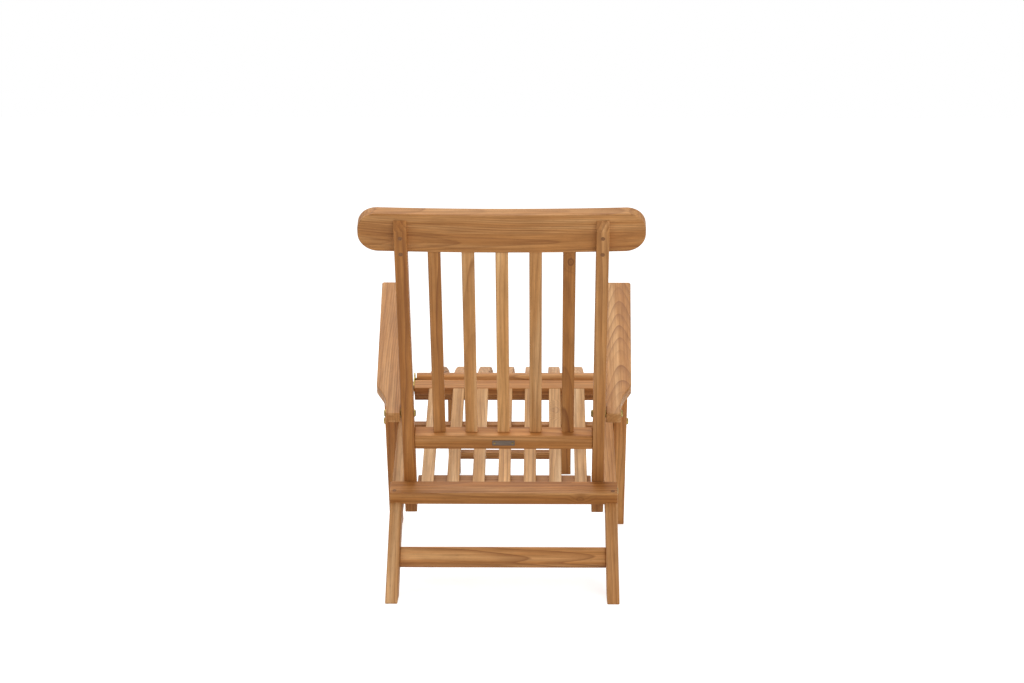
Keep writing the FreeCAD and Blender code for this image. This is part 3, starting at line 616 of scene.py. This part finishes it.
@dataclass
class Plugs:
    """A set of round plugs, each a low dome on a short stem, sunk into the board it closes."""

    name: str
    body: str
    material: bpy.types.Material
    radius: float = 5.0 * MM
    proud: float = 0.35 * MM
    rim: float = 0.3 * MM
    rim_points: int = 5
    sunk: float = 2.0 * MM
    steps: int = 40

    def profile(self) -> np.ndarray:
        """Give the half section as radius and height: up the stem, over an eased rim, to the middle.

        Returns:
            One row for each point of the half section.
        """
        turn = np.linspace(0.0, np.pi / 2, self.rim_points)
        over = np.stack([self.radius - self.rim + self.rim * np.cos(turn),
                         self.proud - self.rim + self.rim * np.sin(turn)], 1)
        foot = [[0.0, -self.sunk], [self.radius, -self.sunk]]
        return np.concatenate([foot, over, [[0.0, self.proud]]])

    def build(self, places: list[np.ndarray], normal: np.ndarray) -> None:
        """Turn the half section round its axis at every place, as one mesh.

        Args:
            places: the middle of each plug on the board's surface.
            normal: the surface's outward direction.
        """
        out = normal / np.linalg.norm(normal)
        across = np.array([1.0, 0.0, 0.0])
        third = np.cross(out, across)
        section = self.profile()
        angle = np.linspace(0.0, 2 * np.pi, self.steps, endpoint=False)
        ring = np.cos(angle)[:, None] * across + np.sin(angle)[:, None] * third
        shape = section[:, 0, None, None] * ring[None] + section[:, 1, None, None] * out
        rows, steps = shape.shape[:2]
        verts = np.concatenate([shape.reshape(-1, 3) + place for place in places])
        row, step = np.meshgrid(np.arange(rows - 1), np.arange(steps), indexing="ij")
        after = (step + 1) % steps
        quads = np.stack([row * steps + step, row * steps + after, (row + 1) * steps + after,
                          (row + 1) * steps + step], -1).reshape(-1, 4)
        faces = np.concatenate([quads + i * rows * steps for i in range(len(places))])
        mesh = bpy.data.meshes.new(self.name)
        mesh.from_pydata(verts.tolist(), [], faces.tolist())
        close_poles(mesh)
        mesh.materials.append(self.material)
        made = bpy.data.objects.new(self.name, mesh)
        bpy.context.collection.objects.link(made)
        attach(made, self.body)
        LOG.info("%s: %d plugs", self.name, len(places))


def close_poles(mesh: bpy.types.Mesh, merge: float = 1e-6, sliver: float = 1e-7) -> None:
    """Merge the points that meet at a shape's poles and turn its faces outwards.

    Args:
        mesh: the mesh to mend.
        merge: metres within which points become one.
        sliver: length in metres below which an edge is dropped.
    """
    work = bmesh.new()
    work.from_mesh(mesh)
    bmesh.ops.remove_doubles(work, verts=work.verts, dist=merge)
    bmesh.ops.dissolve_degenerate(work, edges=work.edges, dist=sliver)
    bmesh.ops.recalc_face_normals(work, faces=work.faces)
    work.to_mesh(mesh)
    work.free()


@dataclass
class Chair:
    """What every sub-assembly needs: the frame and the finishes."""

    frame: dict
    teak: Teak = field(default_factory=Teak)
    brass: bpy.types.Material = field(init=False)
    steel: bpy.types.Material = field(init=False)
    plug: bpy.types.Material = field(init=False)

    def __post_init__(self) -> None:
        """Make the shared materials."""
        self.brass = Brass().material()
        self.steel = BrushedSteel().material()
        self.plug = EndGrainPlug().material()

    def dress(self, name: str, material: bpy.types.Material) -> None:
        """Give a CAD node its finish.

        Args:
            name: the node's name.
            material: the finish.
        """
        target = self.frame["nodes"][name]
        if not target.data.materials:
            target.data.materials.append(material)
        for slot in target.material_slots:
            slot.material = material
        LOG.info("%s: %s", name, material.name)

    def boards(self, boards: list[Board]) -> None:
        """Dress each board in its own cut of teak."""
        for board in boards:
            self.dress(board.node, self.teak.material(board))

    def metal(self, names: tuple[str, ...], material: bpy.types.Material) -> None:
        """Dress metal pieces."""
        for name in names:
            self.dress(name, material)

    def pivot(self, joint: str) -> tuple[float, float]:
        """Give the y and z of a joint's axis, in metres."""
        place = next(entry for entry in self.frame["joints"] if entry["name"] == joint)["pos_m"]
        return place[1], place[2]


@dataclass
class SeatFrame:
    """Side rails with their rear legs, rear rail, stretcher, cross rails, knee board and seat slats."""

    chair: Chair
    slope: float = 18.6
    leg_slope: float = 39.8
    # Painted light: the seat slats' tones sit far above the other boards' and their warmth is turned cooler,
    # to brighten slats that lie in the back's shade.
    slat_tones: tuple = (1.6, 1.5, 1.58, 1.68, 1.58, 1.48, 1.5)
    slat_warmth: float = -2.3
    slat_seed: int = 30
    rift_slats: tuple = (0, 3, 6)
    figured_slat: int = 5
    slat_knot: Knot = Knot(3.0, 136.0, radius=11.0, depth=0.35, rings=5.0)
    rail_knot: Knot = Knot(0.0, 178.0, radius=7.0, depth=0.4, rings=1.3, branch=Branch.EDGEWAYS)
    pivot_along: float = 94.5 * MM
    pivot_drop: float = 18 * MM
    rear_rail_thick: float = 29.5 * MM
    plug_x: float = 254 * MM
    plug_back: float = 15 * MM

    def build(self) -> None:
        """Dress the seat frame and add the plugs in the rear rail."""
        self.chair.boards(self.rails() + self.slats())
        low, high = (np.array(corner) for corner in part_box("rear_rail"))
        middle = (low + high) / 2
        face = Datum(middle[1], middle[2], self.slope)
        places = [face.point(x, -self.plug_back, self.rear_rail_thick / 2)
                  for x in (-self.plug_x, self.plug_x)]
        Plugs("rear_rail_plugs", "seat_frame", self.chair.plug).build(places, face.normal())

    def rails(self) -> list[Board]:
        """Choose the boards of the frame.

        Returns:
            The side rails, which turn down at the bend behind the back's pivot, and what joins them.
        """
        slope = self.slope
        turn = Datum(*self.chair.pivot("back_fold"), slope).point(0.0, -self.pivot_along, self.pivot_drop)
        bend = Datum(turn[1], turn[2], self.leg_slope)
        across = Grain.ACROSS
        return [Board("side_rail_left", slope, 11, tone=1.12, warmth=-0.8, bend=bend),
                Board("side_rail_right", slope, 12, tone=1.13, warmth=-0.3, bend=bend),
                Board("rear_rail", slope, 13, across, tone=0.93, warmth=1.0, knot=self.rail_knot),
                Board("rear_stretcher", self.leg_slope, 14, across, Cut.CROWN, tone=1.1, warmth=0.3),
                Board("seat_cross_rail_rear", slope, 15, across, tone=0.85, warmth=0.3),
                Board("seat_cross_rail_middle", slope, 16, across, tone=0.9, warmth=0.5),
                Board("seat_cross_rail_front", slope, 17, across, tone=0.88, warmth=0.5),
                Board("knee_board", slope, 18, across, tone=1.11, warmth=0.3)]

    def slats(self) -> list[Board]:
        """Choose the boards of the seat.

        Returns:
            The slats, left to right, one of them with a knot.
        """
        return [Board(f"seat_slat_{i + 1}", self.slope, self.slat_seed + i,
                      cut=Cut.RIFT if i in self.rift_slats else Cut.QUARTER, tone=tone,
                      warmth=self.slat_warmth, knot=self.slat_knot if i == self.figured_slat else None)
                for i, tone in enumerate(self.slat_tones)]


@dataclass
class Back:
    """Posts, crest, lower rail, upright slats and the bare label plate."""

    chair: Chair
    lean: float = 29.5
    slat_tones: tuple = (1.03, 1.37, 1.82, 1.27, 0.83)
    slat_warmths: tuple = (0.5, -1.0, -1.9, -0.8, 1.2)
    slat_seeds: tuple = (60, 61, 66, 63, 64)
    flat_slats: tuple = (1, 4)
    knotted_slat: int = 4
    slat_knot: Knot = Knot(3.0, 233.0, radius=8.0)
    post_x: float = 219.75 * MM
    post_half_depth: float = 20 * MM
    plug_heights: tuple = (709 * MM, 752 * MM)

    def build(self) -> None:
        """Dress the back and add the plugs that close the crest's screws."""
        up = self.lean + 90.0
        across = Grain.ACROSS
        boards = [Board("back_post_left", up, 50, tone=0.95, warmth=1.1),
                  Board("back_post_right", up, 51, tone=1.1),
                  Board("crest_board", self.lean, 52, across, Cut.CROWN, tone=1.02, warmth=0.4),
                  Board("lower_back_rail", self.lean, 53, across, tone=1.08, warmth=0.5)]
        looks = zip(self.slat_seeds, self.slat_tones, self.slat_warmths)
        boards += [Board(f"back_slat_{i + 1}", up, seed, cut=Cut.FLAT if i in self.flat_slats else Cut.RIFT,
                         tone=tone, warmth=warmth, knot=self.slat_knot if i == self.knotted_slat else None)
                   for i, (seed, tone, warmth) in enumerate(looks)]
        self.chair.boards(boards)
        self.chair.metal(("label_plate",), self.chair.steel)
        self.chair.metal(("label_plate_screws",), self.chair.brass)
        rear = Datum(*self.chair.pivot("back_fold"), up)
        places = [rear.point(x, height, self.post_half_depth) for x in (-self.post_x, self.post_x)
                  for height in self.plug_heights]
        Plugs("post_plugs", "back", self.chair.plug).build(places, rear.normal())


@dataclass
class Arms:
    """Arm boards with their notched cleats."""

    chair: Chair
    slope: float = 23.5

    def build(self) -> None:
        """Dress the arms."""
        self.chair.boards([Board("arm_left", self.slope, 70, cut=Cut.QUARTER, tone=1.15, warmth=-0.2),
                           Board("arm_right", self.slope, 71, cut=Cut.ARCHED, tone=1.1, warmth=-0.4),
                           Board("arm_cleat_left", self.slope, 72, tone=0.95),
                           Board("arm_cleat_right", self.slope, 73, tone=0.95)])


@dataclass
class FrontLegs:
    """Front legs with the pins under the arms."""

    chair: Chair
    lean: float = 29.5

    def build(self) -> None:
        """Dress the front legs."""
        up = self.lean + 90.0
        self.chair.boards([Board("front_leg_left", up, 80, tone=1.08, warmth=0.6),
                           Board("front_leg_right", up, 81, tone=1.03, warmth=1.1)])
        self.chair.metal(("leg_top_pin_left", "leg_top_pin_right"), self.chair.brass)


@dataclass
class Footrest:
    """Footrest rails, bearers and curved slats, and its folding legs."""

    chair: Chair
    slope: float = -10.0
    rail_slope: float = -4.0
    middle_slope: float = -6.0
    far_slope: float = -15.0
    leg_lean: float = 12.5
    slat_count: int = 7
    slat_seed: int = 100
    slat_tone: float = 1.24
    tone_swing: float = 0.08
    tone_step: float = 2.3
    slat_warmth: float = -1.2

    def build(self) -> None:
        """Dress the footrest and its legs."""
        up = self.leg_lean + 90.0
        across = Grain.ACROSS
        boards = [Board("footrest_rear_rail", self.rail_slope, 90, across, tone=1.13, warmth=0.3),
                  Board("footrest_bearer_left", self.slope, 91),
                  Board("footrest_bearer_right", self.slope, 92),
                  Board("footrest_cross_rail_middle", self.middle_slope, 93, across),
                  Board("footrest_cross_rail_far", self.far_slope, 94, across),
                  Board("footrest_leg_left", up, 95),
                  Board("footrest_leg_right", up, 96, tone=0.98, warmth=0.6),
                  Board("footrest_leg_rail", self.leg_lean, 97, across, tone=0.98, warmth=0.5)]
        boards += [Board(f"footrest_slat_{i + 1}", self.slope, self.slat_seed + i,
                         cut=Cut.QUARTER if i % 2 else Cut.RIFT,
                         tone=self.slat_tone + self.tone_swing * math.sin(self.tone_step * i),
                         warmth=self.slat_warmth) for i in range(self.slat_count)]
        self.chair.boards(boards)


@dataclass
class Hardware:
    """Pivot bolts, washers, and the footrest's brackets and pins."""

    chair: Chair
    names: tuple = ("back_pivot_bolts", "arm_pivot_bolts", "leg_pivot_bolts", "seat_pivot_washers",
                    "arm_pivot_washers", "footrest_brackets", "footrest_pins", "footrest_leg_bolts")

    def build(self) -> None:
        """Dress the hardware in brass."""
        self.chair.metal(self.names, self.chair.brass)


@dataclass(frozen=True)
class Lamp:
    """A square soft lamp: where it hangs, what it faces, its side in metres and its power in watts."""

    name: str
    place: tuple
    aim: tuple
    size: float
    power: float

    def build(self) -> None:
        """Hang the lamp."""
        lamp = bpy.data.lights.new(self.name, "AREA")
        lamp.shape = "SQUARE"
        lamp.size = self.size
        lamp.energy = self.power
        made = bpy.data.objects.new(self.name, lamp)
        made.location = self.place
        made.rotation_euler = (Vector(self.aim) - Vector(self.place)).to_track_quat("-Z", "Y").to_euler()
        bpy.context.collection.objects.link(made)


@dataclass
class Studio:
    """Plain pale floor, soft light from above and the camera behind the chair.

    Places and reaches are in metres, the lens and sensor in millimetres, and pitch and yaw in degrees.
    """

    lens: float = 88.77
    sensor: float = 36.0
    camera_place: tuple = (0.0847, -6.1647, 1.5025)
    pitch: float = 9.31
    yaw: float = 0.652
    view_reach: float = 100.0
    world_light: Span = Span(0.0, 1.0, 0.55, 1.0)
    floor_half: float = 14.0
    floor_colour: str = "#e6e6e6"
    floor_glow: Span = Span(0.8, 3.0, 0.68, 0.75)
    lamps: tuple = (Lamp("overhead_lamp", (-0.6, 0.9, 3.4), (0.0, 0.0, 0.3), 3.0, 66.0),
                    Lamp("rear_fill_lamp", (1.8, -4.5, 2.6), (0.0, -0.2, 0.5), 2.4, 57.0))

    def build(self) -> None:
        """Set up the studio."""
        self.camera()
        self.light()
        self.floor()
        bpy.context.scene.view_settings.view_transform = "Standard"

    def camera(self) -> None:
        """Set the camera where the photograph was taken from."""
        camera = bpy.data.cameras.new("studio_camera")
        camera.lens = self.lens
        camera.sensor_width = self.sensor
        camera.clip_end = self.view_reach
        made = bpy.data.objects.new("studio_camera", camera)
        made.location = self.camera_place
        made.rotation_euler = (math.radians(90.0 - self.pitch), 0.0, math.radians(self.yaw))
        bpy.context.collection.objects.link(made)
        bpy.context.scene.camera = made

    def light(self) -> None:
        """Light the room: an even white surround and large soft lamps above and behind the camera."""
        world = bpy.data.worlds.new("studio_surround")
        bpy.context.scene.world = world
        world.use_nodes = True
        tree = world.node_tree
        strength = node(tree, "ShaderNodeMapRange", {"Value": self.seen(tree)}, self.world_light.values())
        surround = tree.nodes["Background"]
        surround.inputs["Color"].default_value = WHITE
        tree.links.new(strength.outputs[0], surround.inputs["Strength"])
        for lamp in self.lamps:
            lamp.build()

    def floor(self) -> None:
        """Lay the floor: pale, lit, and lifted to white for the eye while it keeps the shadow."""
        half = self.floor_half
        mesh = bpy.data.meshes.new("studio_floor")
        mesh.from_pydata([(-half, -half, 0), (half, -half, 0), (half, half, 0), (-half, half, 0)], [],
                         [(0, 1, 2, 3)])
        material, tree, shader = new_material("white_paper_floor")
        shader.inputs["Base Color"].default_value = srgb(self.floor_colour)
        shader.inputs["Roughness"].default_value = 1.0
        shader.inputs["Specular IOR Level"].default_value = 0.0
        shader.inputs["Emission Color"].default_value = WHITE
        place = node(tree, "ShaderNodeTexCoord").outputs["Object"]
        away = node(tree, "ShaderNodeVectorMath", {0: place}, operation="LENGTH").outputs["Value"]
        glow = node(tree, "ShaderNodeMapRange", {"Value": away}, self.floor_glow.values())
        lift = node(tree, "ShaderNodeMath", {0: self.seen(tree), 1: glow.outputs[0]}, operation="MULTIPLY")
        tree.links.new(lift.outputs[0], shader.inputs["Emission Strength"])
        mesh.materials.append(material)
        made = bpy.data.objects.new("studio_floor", mesh)
        bpy.context.collection.objects.link(made)

    @staticmethod
    def seen(tree: bpy.types.NodeTree) -> bpy.types.NodeSocket:
        """Tell what the eye sees, straight or in metal and glass, from what lights the chair.

        Args:
            tree: the node tree to add to.

        Returns:
            1 for what is seen and 0 for what lights.
        """
        path = node(tree, "ShaderNodeLightPath")
        level = path.outputs["Is Camera Ray"]
        for ray in ("Is Glossy Ray", "Is Transmission Ray"):
            level = node(tree, "ShaderNodeMath", {0: level, 1: path.outputs[ray]},
                         operation="MAXIMUM").outputs[0]
        return level


def main() -> None:
    """Load the frame, dress every sub-assembly and set up the studio."""
    logging.basicConfig(level=logging.INFO)
    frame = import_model()
    chair = Chair(frame)
    for assembly in (SeatFrame, Back, Arms, FrontLegs, Footrest, Hardware):
        assembly(chair).build()
    Studio().build()


if __name__ == "__main__":
    main()
